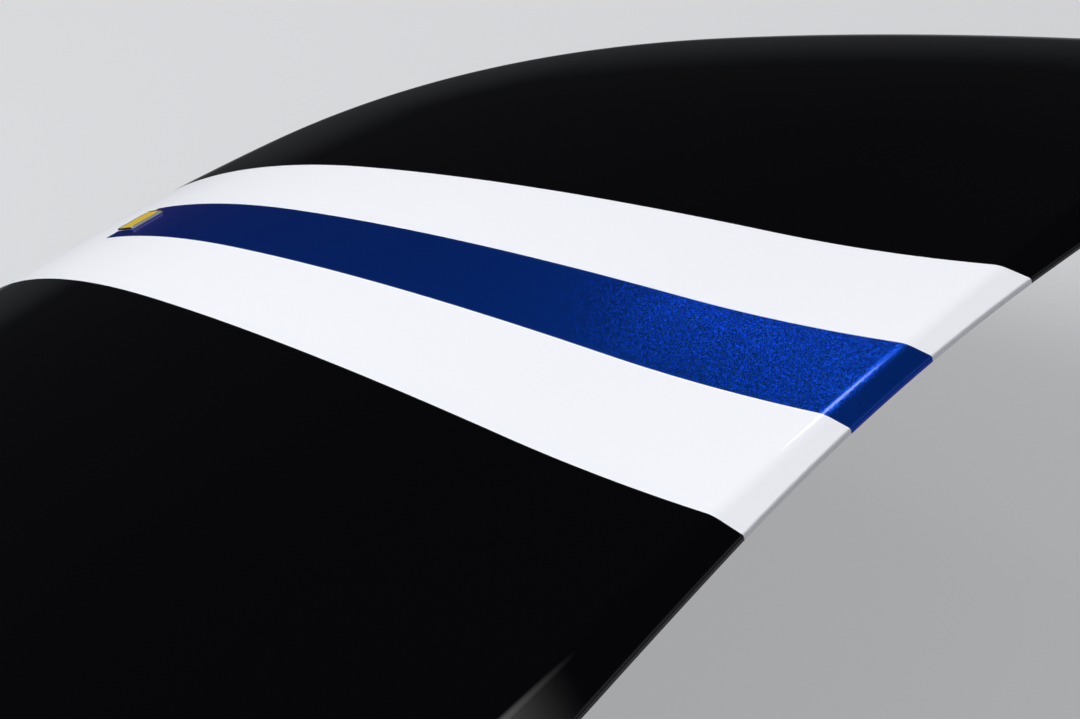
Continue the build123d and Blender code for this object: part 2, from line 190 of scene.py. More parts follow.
FINISHES = {
    "black_paint": lacquer("gloss_black_lacquer", "050507", 0.25, 1.0),
    "white_paint": lacquer("gloss_white_lacquer", "F1F2F7", 0.2, 0.45),
    "blue_paint": blue_metallic(),
    "frame_paint": satin_primer(),
    "badge_enamel": lacquer("yellow_vitreous_enamel", "E0BE3A", 0.3, 0.6),
    "black_steel": electrocoat("black_electrocoat_steel", "26272A", 0.4),
    "zinc_steel": plated("passivated_zinc_plate", "B9BAB4", 0.7, 0.38, 0.04),
    "strut_paint": electrocoat("black_strut_enamel", "18181A", 0.28),
    "rod_chrome": plated("hard_chrome_plate", "D5D7DA", 1.0, 0.08, 0.03),
    "rubber": moulded_rubber(),
}

for part in frame["record"]["subparts"]:
    shown = frame["nodes"][part["node"]]
    shown.data.materials.clear()
    shown.data.materials.append(FINISHES[part["material_slot"]])


# Form of the lid, sizes in millimetres

# Crown on the centre line, from the rear crest forward: length, radius, 1 crowned or -1 hollow.
CREST_Y = -90.0
CREST_Z = 149.0
CREST_SLOPE = math.radians(10.9)
CROWN = [(142.0, 1211.0, -1), (429.0, 4530.0, 1), (646.0, 2150.0, 1), (96.0, 270.0, 1)]
# Camber across: a flat middle and rounder sides.
CAMBER_R = 3283.0
CAMBER_HALF = 220.0
SHOULDER_R = 852.0
# Where the crown's radii meet, and how far the sheet is laid out before it is cut, along and across.
CROWN_JOINTS = [142.0, 571.0, 1217.0]
NOSE_REACH = 1400.0
SIDE_REACH = 600.0
# Ends of the search for a place along the skin.
SKIN_ENDS = (-80.0, 1420.0)
# Lip behind the crest. The bend is softer than the part's plain one and starts that much sooner.
LIP_BEND = math.radians(20.5)
LIP_BEND_R = 22.0
PLAIN_BEND_R = 10.0
BEND_START = (LIP_BEND_R - PLAIN_BEND_R) * math.tan(LIP_BEND / 2)
BEND_END = BEND_START - LIP_BEND_R * LIP_BEND
BEND_SLOPE = CREST_SLOPE + CROWN[0][2] * BEND_START / CROWN[0][1]
# Plan, y from the crest.
HALF_REAR = 560.0
REAR_MID_Y = 14.9
REAR_BOW_X = 110.0
REAR_BOW_R = 1613.0
HALF_FRONT = 474.0
FRONT_CORNER_Y = -1150.0
FRONT_Y = -1246.0
FRONT_CORNER_R = 90.0
# Stripes.
STRIPE_HALF = 100.0
BLUE_HALF = 28.5
BLUE_TIP_S = 868.0
# Sheet, folded edges and what they wrap.
SKIN_T = 1.2
# The skin stops short of the front by a little more than the paint lifts.
TRIM = 0.2
HEM_DEPTH = 2.8
HEM_W = 10.0
FOLD_R = 2.0
LIP_FOLD_R = 1.0
LIP_EDGE_T = 3.0
LIP_HEM = 2.6
PAINT_LIFT = 0.1
PAINT_SINK = 0.4
# Steepest slope that a depth square to the skin is turned upright for.
LEAST_UP = 0.4
# Size of a facet on the open panel, under the stripes and round the nose, and the rows beside the bend.
PANEL_STEP = 11.0
STRIPE_STEP = 9.5
NOSE_STEP = 7.0
BEND_GUARD = 0.4
# Facets round a front corner and along half the front.
CORNER_STEPS = 18
FRONT_STEPS = 24


def centre_line(s):
    # point and slope on the centre line; s is negative on the lip
    if s < BEND_START:
        y, z, a = centre_line(BEND_START)
        turned = min((BEND_START - s) / LIP_BEND_R, LIP_BEND)
        y += LIP_BEND_R * (math.sin(a) - math.sin(a - turned))
        z += LIP_BEND_R * (math.cos(a - turned) - math.cos(a))
        rest = max(BEND_END - s, 0.0)
        a -= turned
        return y + rest * math.cos(a), z + rest * math.sin(a), a
    y, z, a = CREST_Y, CREST_Z, CREST_SLOPE
    for length, radius, bend in CROWN:
        step = s if (length, radius, bend) == CROWN[-1] else min(s, length)
        b = a + bend * step / radius
        y -= bend * radius * (math.sin(b) - math.sin(a))
        z += bend * radius * (math.cos(b) - math.cos(a))
        a = b
        s -= step
        if s <= 0:
            break
    return y, z, a


def camber(x):
    # height and tilt of the cross section at x
    joint = math.asin(CAMBER_HALF / CAMBER_R)
    if abs(x) <= CAMBER_HALF:
        tilt = math.asin(abs(x) / CAMBER_R)
        return CAMBER_R * (math.cos(tilt) - 1), math.copysign(tilt, x)
    run = (CAMBER_R - SHOULDER_R) * math.sin(joint)
    rise = (CAMBER_R - SHOULDER_R) * math.cos(joint) - CAMBER_R
    tilt = math.asin((abs(x) - run) / SHOULDER_R)
    return rise + SHOULDER_R * math.cos(tilt), math.copysign(tilt, x)


def skin_point(x, s, depth=0.0):
    # point of the skin and its outward normal
    y, z, a = centre_line(s)
    height, tilt = camber(x)
    lean = BEND_SLOPE if s < BEND_START else a
    up = Vector((0.0, -math.sin(lean), math.cos(lean)))
    outward = Vector((math.sin(tilt), -math.sin(a) * math.cos(tilt), math.cos(a) * math.cos(tilt)))
    place = Vector((x, y, z)) + up * height - outward * depth
    return place, outward


def halved(low, high, count, short):
    # last middle of a search by halves; short tells whether a place still lies before the one sought
    for _ in range(count):
        middle = (low + high) / 2
        if short(middle):
            low = middle
        else:
            high = middle
    return middle


def along_skin(x, y):
    # distance along the skin of the plan point (x, y)
    return halved(*SKIN_ENDS, 28, lambda s: skin_point(x, s)[0].y > y)


def drop(depth, outward):
    # upright drop that reaches a depth measured square to the skin
    return Vector((0.0, 0.0, depth / max(outward.z, LEAST_UP)))


def rear_y(x):
    # rear edge seen from above
    rise = REAR_BOW_X ** 2 / (2 * REAR_BOW_R)
    if abs(x) <= REAR_BOW_X:
        return CREST_Y + REAR_MID_Y + x * x / (2 * REAR_BOW_R)
    return CREST_Y + REAR_MID_Y + rise + (abs(x) - REAR_BOW_X) * REAR_BOW_X / REAR_BOW_R


def front_arc():
    # centre height and radius of the arc of the front edge
    sagitta = FRONT_CORNER_Y - FRONT_Y
    radius = (HALF_FRONT ** 2 + sagitta ** 2) / (2 * sagitta)
    return CREST_Y + FRONT_Y + radius, radius


def front_y(x):
    middle, radius = front_arc()
    return middle - math.sqrt(radius * radius - x * x)


def offset_loop(loop, amount):
    # closed clockwise loop of plan points, as the outline is, moved outwards by an amount, corners mitred
    moved = []
    for i, here in enumerate(loop):
        before = (here - loop[i - 1]).normalized()
        after = (loop[(i + 1) % len(loop)] - here).normalized()
        first = Vector((-before.y, before.x))
        second = Vector((-after.y, after.x))
        miter = (first + second).normalized()
        moved.append(here + miter * amount / max(miter.dot(first), 0.3))
    return moved


def lid_outline():
    # plan of the lid without its rear edge, from the rear left corner forward to the rear right one
    middle, radius = front_arc()
    left_rear = Vector((HALF_REAR, rear_y(HALF_REAR)))
    corner = Vector((HALF_FRONT, CREST_Y + FRONT_CORNER_Y))
    # rounding of the front corner: a circle inside both the side line and the front arc
    side = (corner - left_rear).normalized()
    inward = Vector((side.y, -side.x))
    centre_gap = radius - FRONT_CORNER_R

    def hub_at(along):
        return left_rear + side * along + inward * FRONT_CORNER_R

    along = halved(
        0.0, (corner - left_rear).length, 50,
        lambda trial: (hub_at(trial) - Vector((0.0, middle))).length < centre_gap)
    hub = hub_at(along)
    start = math.atan2(-inward.y, -inward.x)
    gap = hub - Vector((0.0, middle))
    end = math.atan2(gap.y, gap.x)
    points = [left_rear]
    for i in range(CORNER_STEPS + 1):
        angle = start + (end - start) * i / CORNER_STEPS
        points.append(hub + Vector((math.cos(angle), math.sin(angle))) * FRONT_CORNER_R)
    arc_x = points[-1].x
    for i in range(1, FRONT_STEPS):
        x = arc_x * (1 - i / FRONT_STEPS)
        points.append(Vector((x, front_y(x))))
    mirrored = [Vector((-p.x, p.y)) for p in reversed(points)]
    return points + [Vector((0.0, front_y(0.0)))] + mirrored


def spaced(start, end, step):
    # even stations from start to end, the end left out
    count = max(1, round(abs(end - start) / step))
    return [start + (end - start) * i / count for i in range(count)]


def columns(limit, step):
    # stations across, with the stripes' edges among them
    half = [0.0]
    marks = [0.0, BLUE_HALF, STRIPE_HALF, CAMBER_HALF, limit]
    marks = [m for m in marks if m <= limit]
    for a, b in zip(marks, marks[1:]):
        half += spaced(a, b, step)[1 if a == 0.0 else 0:]
    half.append(limit)
    return [-x for x in reversed(half[1:])] + half


def rows(x, rear_inset, front_s=None):
    # places along, from the rear edge forward, close together over the crest
    nose = CROWN_JOINTS[-1]
    rear_s = along_skin(x, rear_y(x) - rear_inset)
    marks = [rear_s + (BEND_END - BEND_GUARD - rear_s) * i / 4 for i in range(4)]
    marks += [BEND_END - BEND_GUARD]
    marks += spaced(BEND_END, BEND_START, (BEND_START - BEND_END) / 12)
    marks += [BEND_START, BEND_START + BEND_GUARD]
    ends = [BEND_START + 2.0, *CROWN_JOINTS[:2], BLUE_TIP_S, nose]
    for a, b in zip(ends, ends[1:]):
        marks += spaced(a, b, PANEL_STEP)
    if front_s is None:
        marks += spaced(nose, NOSE_REACH, NOSE_STEP) + [NOSE_REACH]
    else:
        marks += [nose + (front_s - nose) * i / 10 for i in range(11)]
    return marks


def show(name, mesh):
    # a mesh put in the scene as an object at the origin
    piece = bpy.data.objects.new(name, mesh)
    scene.collection.objects.link(piece)
    return piece


def smooth(mesh, sharp=None):
    # soft shading, with edges over an angle in degrees kept sharp
    for polygon in mesh.polygons:
        polygon.use_smooth = True
    if sharp:
        mesh.set_sharp_from_angle(angle=math.radians(sharp))


def to_mesh(name, points, faces, normals):
    # millimetres in, a smooth mesh object in metres out
    mesh = bpy.data.meshes.new(name)
    mesh.from_pydata([p * MM for p in points], [], faces)
    smooth(mesh)
    mesh.validate()
    mesh.normals_split_custom_set_from_vertices(normals)
    return show(name, mesh)


def close_mesh(name, bm, sharp=None):
    # the same for a mesh still under construction
    mesh = bpy.data.meshes.new(name)
    bm.to_mesh(mesh)
    bm.free()
    mesh.transform(Matrix.Scale(MM, 4))
    smooth(mesh, sharp)
    return show(name, mesh)


def clip_to(bm, line):
    # cut a sheet along each run of a convex line that goes clockwise from above
    for a, b in zip(line, line[1:]):
        out = Vector((a.y - b.y, b.x - a.x, 0.0))
        bmesh.ops.bisect_plane(
            bm, geom=bm.verts[:] + bm.edges[:] + bm.faces[:], plane_co=(a.x, a.y, 0.0), plane_no=out,
            clear_outer=True, dist=1e-4)


def dress(piece, slot_name, body):
    piece.data.materials.clear()
    piece.data.materials.append(FINISHES[slot_name])
    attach(piece, body)


def fold(radius, low, steps=4):
    # folded edge in section, from the top round to the underside: inset, drop and turn of the normal
    quarter = [math.pi / 2 * i / steps for i in range(1, steps + 1)]
    over = [(radius * (1 - math.sin(t)), radius * (1 - math.cos(t)), t) for t in quarter]
    small = radius / 2
    under = [(small * (1 - math.cos(t)), low - small * (1 - math.sin(t)), math.pi / 2 + t)
             for t in [0.0] + quarter]
    return over + under


def edge_point(x, y, out, step):
    # point and normal of a folded edge, at a plan point that already lies in by the inset
    place, normal = skin_point(x, along_skin(x, y))
    side = Vector((out.x, out.y, 0.0)).normalized()
    return place - drop(step[1], normal), (normal * math.cos(step[2]) + side * math.sin(step[2])).normalized()


def boundary_loop(bm):
    # open edge of a mesh as vertex numbers in order, anticlockwise from above
    following = {}
    for edge in bm.edges:
        if edge.is_boundary:
            loop = edge.link_loops[0]
            following[loop.vert.index] = loop.link_loop_next.vert.index
    start = next(iter(following))
    ring = [start]
    while following[ring[-1]] != start:
        ring.append(following[ring[-1]])
    return ring


def outward_steps(edge):
    # plan vector at each point of a closed loop that moves it outwards by one, corners mitred
    steps = []
    for i, here in enumerate(edge):
        before = (here - edge[i - 1]).normalized()
        after = (edge[(i + 1) % len(edge)] - here).normalized()
        first = Vector((before.y, -before.x))
        second = Vector((after.y, -after.x))
        steps.append((first + second) / max(1 + first.dot(second), 0.6))
    return steps


def lacquered_skin():
    # Pressed skin with its edge folded round the inner frame, one closed sheet with soft edges.
    xs = columns(SIDE_REACH, PANEL_STEP)
    inside = offset_loop(lid_outline(), -FOLD_R - TRIM)
    bm = bmesh.new()
    grid = [[bm.verts.new(skin_point(x, s)[0]) for s in rows(x, LIP_FOLD_R)] for x in xs]
    for one, other in zip(grid, grid[1:]):
        for j in range(len(one) - 1):
            bm.faces.new((one[j], one[j + 1], other[j + 1], other[j]))
    # the sides and the front are convex, so each run of the outline clips the whole sheet
    clip_to(bm, inside)
    bmesh.ops.remove_doubles(bm, verts=bm.verts[:], dist=0.05)
    bm.verts.index_update()
    top = [v.co.copy() for v in bm.verts]
    top_faces = [[v.index for v in f.verts] for f in bm.faces]
    ring = boundary_loop(bm)
    bm.free()
    points = list(top)
    normals = [skin_point(p.x, along_skin(p.x, p.y))[1] for p in top]
    faces = list(top_faces)
    edge = [Vector((top[i].x, top[i].y)) for i in ring]
    outs = outward_steps(edge)
    rear = [abs(p.y + LIP_FOLD_R - rear_y(p.x)) < 0.1 for p in edge]
    lip_run = fold(LIP_FOLD_R, LIP_EDGE_T) + [
        (LIP_HEM, LIP_EDGE_T, math.pi), (LIP_HEM, SKIN_T + 0.2, 1.5 * math.pi), (1.0, SKIN_T + 0.1, math.pi)]
    low = HEM_DEPTH + SKIN_T
    hem_run = fold(FOLD_R, low) + [
        (HEM_W - 0.3, low, math.pi), (HEM_W, HEM_DEPTH + 0.2, 1.5 * math.pi),
        (FOLD_R, HEM_DEPTH, 2 * math.pi)]
    previous = ring
    for lip_step, hem_step in zip(lip_run, hem_run):
        current = []
        for place, out, at_rear in zip(edge, outs, rear):
            step = lip_step if at_rear else hem_step
            moved = place + out * ((LIP_FOLD_R if at_rear else FOLD_R) - step[0])
            point, normal = edge_point(moved.x, moved.y, out, step)
            current.append(len(points))
            points.append(point)
            normals.append(normal)
        for i in range(len(ring)):
            k = (i + 1) % len(ring)
            faces.append([previous[i], current[i], current[k], previous[k]])
        previous = current
    # inner face of the sheet
    shift = len(points)
    for p, n in zip(top, normals[:len(top)]):
        points.append(p - drop(SKIN_T, n))
        normals.append(-n)
    faces += [[shift + i for i in reversed(face)] for face in top_faces]
    for i in range(len(ring)):
        k = (i + 1) % len(ring)
        faces.append([previous[i], shift + ring[i], shift + ring[k], previous[k]])
    return to_mesh("lacquered_skin", points, faces, normals)


def shell(name, places, ups, cells, lift, sink):
    # closed thin shell over some cells of a grid, from sink under the surface to lift over it
    numbers = {}
    points, normals, faces = [], [], []
    for corner in sorted({c for cell in cells for c in cell}):
        numbers[corner] = len(points)
        points += [places[corner] + ups[corner] * lift, places[corner] - ups[corner] * sink]
        normals += [ups[corner], -ups[corner]]
    sides = {}
    for cell in cells:
        run = [numbers[c] for c in cell]
        faces.append(run)
        faces.append([n + 1 for n in reversed(run)])
        for a, b in zip(run, run[1:] + run[:1]):
            sides[(a, b)] = True
    for a, b in sides:
        if (b, a) not in sides:
            faces.append([b, a, a + 1, b + 1])
    return to_mesh(name, points, faces, normals)


def paint_stripes():
    # Stripes as a second coat, a tenth of a millimetre proud, taken round the rear and front edges.
    xs = columns(STRIPE_HALF, STRIPE_STEP)
    places, ups, lines = {}, {}, []
    for i, x in enumerate(xs):
        line = []
        rear_out = Vector((0.0, 1.0))
        for step in reversed(fold(LIP_FOLD_R, LIP_EDGE_T)):
            line.append(edge_point(x, rear_y(x) - step[0], rear_out, step))
        front_s = along_skin(x, front_y(x) + TRIM + FOLD_R)
        for s in rows(x, LIP_FOLD_R, front_s):
            line.append(skin_point(x, s))
        for step in fold(FOLD_R, HEM_DEPTH + SKIN_T):
            line.append(edge_point(x, front_y(x) + TRIM + step[0], -rear_out, step))
        for j, (place, up) in enumerate(line):
            places[(i, j)] = place
            ups[(i, j)] = up
        lines.append(line)
    tip_y = centre_line(BLUE_TIP_S)[0]
    white, blue = [], []
    for i in range(len(xs) - 1):
        for j in range(len(lines[0]) - 1):
            cell = ((i, j), (i, j + 1), (i + 1, j + 1), (i + 1, j))
            inner = abs(xs[i] + xs[i + 1]) / 2 < BLUE_HALF
            behind = (places[(i, j)].y + places[(i, j + 1)].y) / 2 > tip_y
            (blue if inner and behind else white).append(cell)
    return (shell("stripe_white_coat", places, ups, white, PAINT_LIFT, PAINT_SINK),
            shell("stripe_blue_coat", places, ups, blue, PAINT_LIFT, PAINT_SINK))


skin = lacquered_skin()
dress(skin, "black_paint", "bonnet")
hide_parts("outer_skin")
white_coat, blue_coat = paint_stripes()
dress(white_coat, "white_paint", "bonnet")
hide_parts("stripe_white")
dress(blue_coat, "blue_paint", "bonnet")
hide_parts("stripe_blue")


# Pressed inner frame

FRAME_DEPTH = 26.0
FRAME_INSET = 30.0
FRAME_REAR_Y = -8.0
FLANGE_DEPTH = 2.2
FLANGE_GAP = 0.5
SHEET_T = 1.0
# Half the run of a pressed wall seen from above.
DRAFT = 7.5
# Turned-up edge of an opening: how far it reaches in, and its depth under the skin.
RIM_REACH = 7.0
RIM_DEPTH = 3.4
# Openings between the ribs, y from the crest:
# rear, front, inner and outer x at the rear, inner and outer x at the front.
OPENINGS = [
    (-98.0, -292.0, -65.0, 65.0, -65.0, 65.0),
    (-346.0, -556.0, -65.0, 65.0, -64.0, 64.0),
    (-610.0, -820.0, -64.0, 64.0, -62.0, 62.0),
    (-874.0, -1050.0, -62.0, 62.0, -60.0, 60.0),
    (-98.0, -292.0, 160.0, 290.0, 158.0, 286.0),
    (-346.0, -556.0, 157.0, 285.0, 153.0, 279.0),
    (-610.0, -820.0, 152.0, 278.0, 147.0, 271.0),
    (-874.0, -1050.0, 146.0, 270.0, 141.0, 262.0),
]
OPENING_R = 34.0
# Stiffening beads pressed up into the floor, on the left half: ends as x, y from the crest, and half width.
CROSS_BEADS_Y = (-319.0, -583.0, -847.0)
BEADS = [
    ((112.0, -112.0), (101.0, -1036.0), 11.0),
    ((338.0, -250.0), (300.0, -1040.0), 12.0),
    ((392.0, -400.0), (352.0, -1030.0), 12.0),
    ((448.0, -110.0), (404.0, -1000.0), 10.0),
    ((178.0, -319.0), (268.0, -319.0), 9.0),
    ((172.0, -583.0), (262.0, -583.0), 9.0),
    ((166.0, -847.0), (254.0, -847.0), 9.0),
]
MIDDLE_BEADS = [((-52.0, y), (52.0, y), 9.0) for y in CROSS_BEADS_Y]
BEAD_RISE = 4.0
# How much steeper a bead's side is than a plain rise to its middle, which leaves its top flat.
BEAD_STEEP = 1.35
# Beads fade out this far from the wall, over this run.
BEAD_START = 12.0
BEAD_FADE = 14.0
# Facets of the frame: rows end at the front, columns at the side, close together at every bend.
FRONT_REACH = -1262.0
FRAME_REACH = 590.0
CLOSE_STEP = 4.2
LOOSE_ROW = 13.0
LOOSE_COLUMN = 12.0
# y, before, after: the run of close rows at the rear wall and round the front corners.
REAR_WALL = (FRAME_REAR_Y - FRAME_INSET, 12.0, 12.0)
FRONT_WALL = (-1165.0, 95.0, 95.0)
# x, before, after: the runs of close columns at the openings, the beads and the side walls.
CLOSE_COLUMNS = [
    (65.0, 26.0, 10.0), (160.0, 10.0, 26.0), (290.0, 26.0, 10.0), (112.0, 12.0, 12.0), (338.0, 12.0, 12.0),
    (392.0, 12.0, 12.0), (448.0, 12.0, 12.0), (508.0, 32.0, 32.0)]
# Share of its x by which a column is drawn in for each millimetre forward.
COLUMN_SPLAY = (270.0 - 290.0) / 290.0 / 952.0
# The rows bow with the rear edge from here back.
BOW_START = -90.0


def eased(t):
    t = np.clip(t, 0.0, 1.0)
    return t * t * (3 - 2 * t)


def from_run(px, py, start, end):
    # distance of plan points to a straight run
    (ax, ay), (bx, by) = start, end
    dx, dy = bx - ax, by - ay
    along = np.clip(((px - ax) * dx + (py - ay) * dy) / (dx * dx + dy * dy), 0.0, 1.0)
    return np.hypot(px - ax - along * dx, py - ay - along * dy)


def inside_polygon(px, py, corners):
    # signed distance to a closed polygon, positive inside
    far = np.full(px.shape, 1e9)
    odd = np.zeros(px.shape, dtype=bool)
    for (ax, ay), (bx, by) in zip(corners, corners[1:] + corners[:1]):
        far = np.minimum(far, from_run(px, py, (ax, ay), (bx, by)))
        if ay != by:
            odd ^= ((ay > py) != (by > py)) & (px < (bx - ax) * (py - ay) / (by - ay) + ax)
    return np.where(odd, far, -far)


def opening_distance(px, py, row):
    # signed distance to an opening with rounded corners, positive inside
    rear, front, in_rear, out_rear, in_front, out_front = row
    slope_in = (in_front - in_rear) / (front - rear)
    slope_out = (out_front - out_rear) / (front - rear)
    r = OPENING_R
    core = [
        (in_rear - slope_in * r + r, rear - r), (out_rear - slope_out * r - r, rear - r),
        (out_front + slope_out * r - r, front + r), (in_front + slope_in * r + r, front + r)]
    return inside_polygon(px, py, core) + r


def bead_height(px, py, bead):
    start, end, half = bead
    return BEAD_RISE * eased(BEAD_STEEP * (1 - from_run(px, py, start, end) / half))


def rear_cut(x, rear):
    # rear line of the frame from above, which runs back as the crest does
    drop = -camber(HALF_REAR)[0] * math.sin(CREST_SLOPE)
    radius = (HALF_REAR ** 2 + drop ** 2) / (2 * drop)
    return CREST_Y + rear + radius - math.sqrt(radius * radius - x * x)


def inner_line(inset, rear):
    # outline of the lid drawn in, its sides cut at a rear line of the frame
    line = offset_loop(lid_outline(), -inset)

    def ahead(share):
        place = line[1].lerp(line[0], share)
        return place.y < rear_cut(place.x, rear)

    place = line[1].lerp(line[0], halved(0.0, 1.0, 40, ahead))
    return [place] + line[1:-1] + [Vector((-place.x, place.y))]


def nearest_opening(px, py):
    # signed distance to the nearest opening, positive inside; y in the part's frame
    rel = py - CREST_Y
    away = [opening_distance(px if row[2] < 0 else np.abs(px), rel, row) for row in OPENINGS]
    return np.max(away, axis=0)


def frame_depth(px, py):
    # depth of the frame's lower face under the skin; y in the part's frame
    wall_rear = FRAME_REAR_Y - FRAME_INSET
    wall = [(p.x, p.y) for p in inner_line(FRAME_INSET, wall_rear)]
    across = np.linspace(wall[-1][0], wall[0][0], 25)[1:-1]
    back = [(float(x), float(rear_cut(x, wall_rear))) for x in across]
    run = inside_polygon(px, py, wall + back)
    depth = FLANGE_DEPTH + (FRAME_DEPTH - FLANGE_DEPTH) * eased((run + DRAFT) / (2 * DRAFT))
    rel = py - CREST_Y
    for bead in BEADS:
        depth -= bead_height(np.abs(px), rel, bead) * eased((run - BEAD_START) / BEAD_FADE)
    for bead in MIDDLE_BEADS:
        depth -= bead_height(px, rel, bead)
    risen = FRAME_DEPTH - (FRAME_DEPTH - RIM_DEPTH) * eased((nearest_opening(px, py) + DRAFT) / (2 * DRAFT))
    return np.minimum(depth, risen)


def stations(edges, low, high, tight, loose):
    # positions between low and high, close together near the given edges
    close = set()
    for edge, before, after in edges:
        count = max(1, round((before + after) / tight))
        close.update(edge - before + (before + after) * i / count for i in range(count + 1))
    marks = sorted(m for m in close | {low, high} if low <= m <= high)
    out = [marks[0]]
    for mark in marks[1:]:
        gap = mark - out[-1]
        if gap < tight * 0.45 and mark != high:
            continue
        count = max(1, math.ceil(gap / loose))
        start = out[-1]
        out += [start + gap * i / count for i in range(1, count + 1)]
    return out


def pressed_frame():
    # Inner frame as one pressed sheet: flange, drafted walls, floor with beads, and openings whose edges
    # rise until they meet the skin.
    close_rows = [REAR_WALL, FRONT_WALL] + [(y, 10.0, 10.0) for y in CROSS_BEADS_Y]
    for row in OPENINGS[:4]:
        close_rows += [(row[0], 26.0, 10.0), (row[1], 10.0, 26.0)]
    ys = stations(close_rows, FRONT_REACH, FRAME_REAR_Y, CLOSE_STEP, LOOSE_ROW)
    # columns are laid out at the rear and drawn in towards the front, as the openings are
    xs = stations(CLOSE_COLUMNS, 0.0, FRAME_REACH, CLOSE_STEP, LOOSE_COLUMN)
    xs = [-x for x in reversed(xs[1:])] + xs
    px, py = [], []
    for x in xs:
        for y in ys:
            bow = rear_cut(x, 0.0) - CREST_Y
            back = eased(np.array((y - BOW_START) / (FRAME_REAR_Y - BOW_START))) * bow
            px.append(x * (1 - COLUMN_SPLAY * (y - OPENINGS[0][0])))
            py.append(CREST_Y + y + float(back))
    px = np.array(px)
    py = np.array(py)
    lower = frame_depth(px, py)
    away = nearest_opening(px, py)
    bm = bmesh.new()
    verts = []
    for x, y, depth in zip(px, py, lower):
        place, up = skin_point(x, along_skin(x, y))
        verts.append(bm.verts.new(place - drop(depth, up)))
    count = len(ys)
    for i in range(len(xs) - 1):
        for j in range(count - 1):
            corners = [i * count + j, (i + 1) * count + j, (i + 1) * count + j + 1, i * count + j + 1]
            if sum(away[c] for c in corners) / 4 > RIM_REACH:
                continue
            bm.faces.new([verts[c] for c in corners])
    clip_to(bm, offset_loop(lid_outline(), -(SKIN_T + FLANGE_GAP)))
    bmesh.ops.delete(bm, geom=[v for v in bm.verts if not v.link_faces], context="VERTS")
    bmesh.ops.remove_doubles(bm, verts=bm.verts[:], dist=0.02)
    # the ragged edges of the openings are drawn on to a smooth line
    rim = [v for v in bm.verts if v.is_boundary]
    rx = np.array([v.co.x for v in rim])
    ry = np.array([v.co.y for v in rim])
    near = nearest_opening(rx, ry)
    probe = 0.2
    slope_x = (nearest_opening(rx + probe, ry) - nearest_opening(rx - probe, ry)) / (2 * probe)
    slope_y = (nearest_opening(rx, ry + probe) - nearest_opening(rx, ry - probe)) / (2 * probe)
    steep = np.maximum(np.hypot(slope_x, slope_y), 0.5)
    mx = rx + (RIM_REACH - near) * slope_x / steep
    my = ry + (RIM_REACH - near) * slope_y / steep
    sunk = frame_depth(mx, my)
    for i, v in enumerate(rim):
        if near[i] > 0.0:
            place, up = skin_point(float(mx[i]), along_skin(float(mx[i]), float(my[i])))
            v.co = place - drop(float(sunk[i]), up)
    # the sheet's upper face, and its edges
    bm.normal_update()
    low_verts = bm.verts[:]
    low_faces = bm.faces[:]
    bm.verts.index_update()
    upper = [bm.verts.new(v.co - v.normal * SHEET_T) for v in low_verts]
    rims = [e for e in bm.edges if e.is_boundary]
    for face in low_faces:
        bm.faces.new([upper[v.index] for v in reversed(face.verts)])
    for edge in rims:
        loop = edge.link_loops[0]
        a, b = loop.vert, loop.link_loop_next.vert
        bm.faces.new((b, a, upper[a.index], upper[b.index]))
    return close_mesh("pressed_frame", bm)


frame_sheet = pressed_frame()
dress(frame_sheet, "frame_paint", "bonnet")
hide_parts("inner_frame")


# Swept and turned pieces

def skinned(name, sections, closed=False, sharp=35.0):
    # closed mesh through like sections, capped at both ends or joined end to end; millimetres
    bm = bmesh.new()
    rings = [[bm.verts.new(p) for p in section] for section in sections]
    pairs = list(zip(rings, rings[1:]))
    if closed:
        pairs.append((rings[-1], rings[0]))
    for one, other in pairs:
        for i in range(len(one)):
            k = (i + 1) % len(one)
            bm.faces.new((one[i], one[k], other[k], other[i]))
    if not closed:
        bm.faces.new(list(reversed(rings[0])))
        bm.faces.new(rings[-1])
    bmesh.ops.recalc_face_normals(bm, faces=bm.faces[:])
    bmesh.ops.triangulate(bm, faces=[f for f in bm.faces if len(f.verts) > 4])
    return close_mesh(name, bm, sharp)


def joined(name, pieces):
    # one object out of several, all at the origin
    bm = bmesh.new()
    for piece in pieces:
        bm.from_mesh(piece.data)
    mesh = bpy.data.meshes.new(name)
    bm.to_mesh(mesh)
    bm.free()
    for piece in pieces:
        bpy.data.objects.remove(piece)
    return show(name, mesh)


def circle(radius, count):
    return [(radius * math.cos(2 * math.pi * i / count), radius * math.sin(2 * math.pi * i / count))
            for i in range(count)]


def rounded_rectangle(width, length, radius, steps=5):
    corners = [(1, 1, 0), (-1, 1, 90), (-1, -1, 180), (1, -1, 270)]
    points = []
    for sx, sy, start in corners:
        for i in range(steps + 1):
            angle = math.radians(start + 90 * i / steps)
            points.append((sx * (width / 2 - radius) + radius * math.cos(angle),
                           sy * (length / 2 - radius) + radius * math.sin(angle)))
    return points


def under_lid(x, y, depth):
    # point under the skin at a plan point, its depth measured square to the skin
    return skin_point(x, along_skin(x, y), depth)[0]


SEAL_W = 14.0
SEAL_H = 12.0
SEAL_HALF = 350.0
SEAL_BULB_R = 4.8
SEAL_STRIP = 2.4
SEAL_STEPS = 90


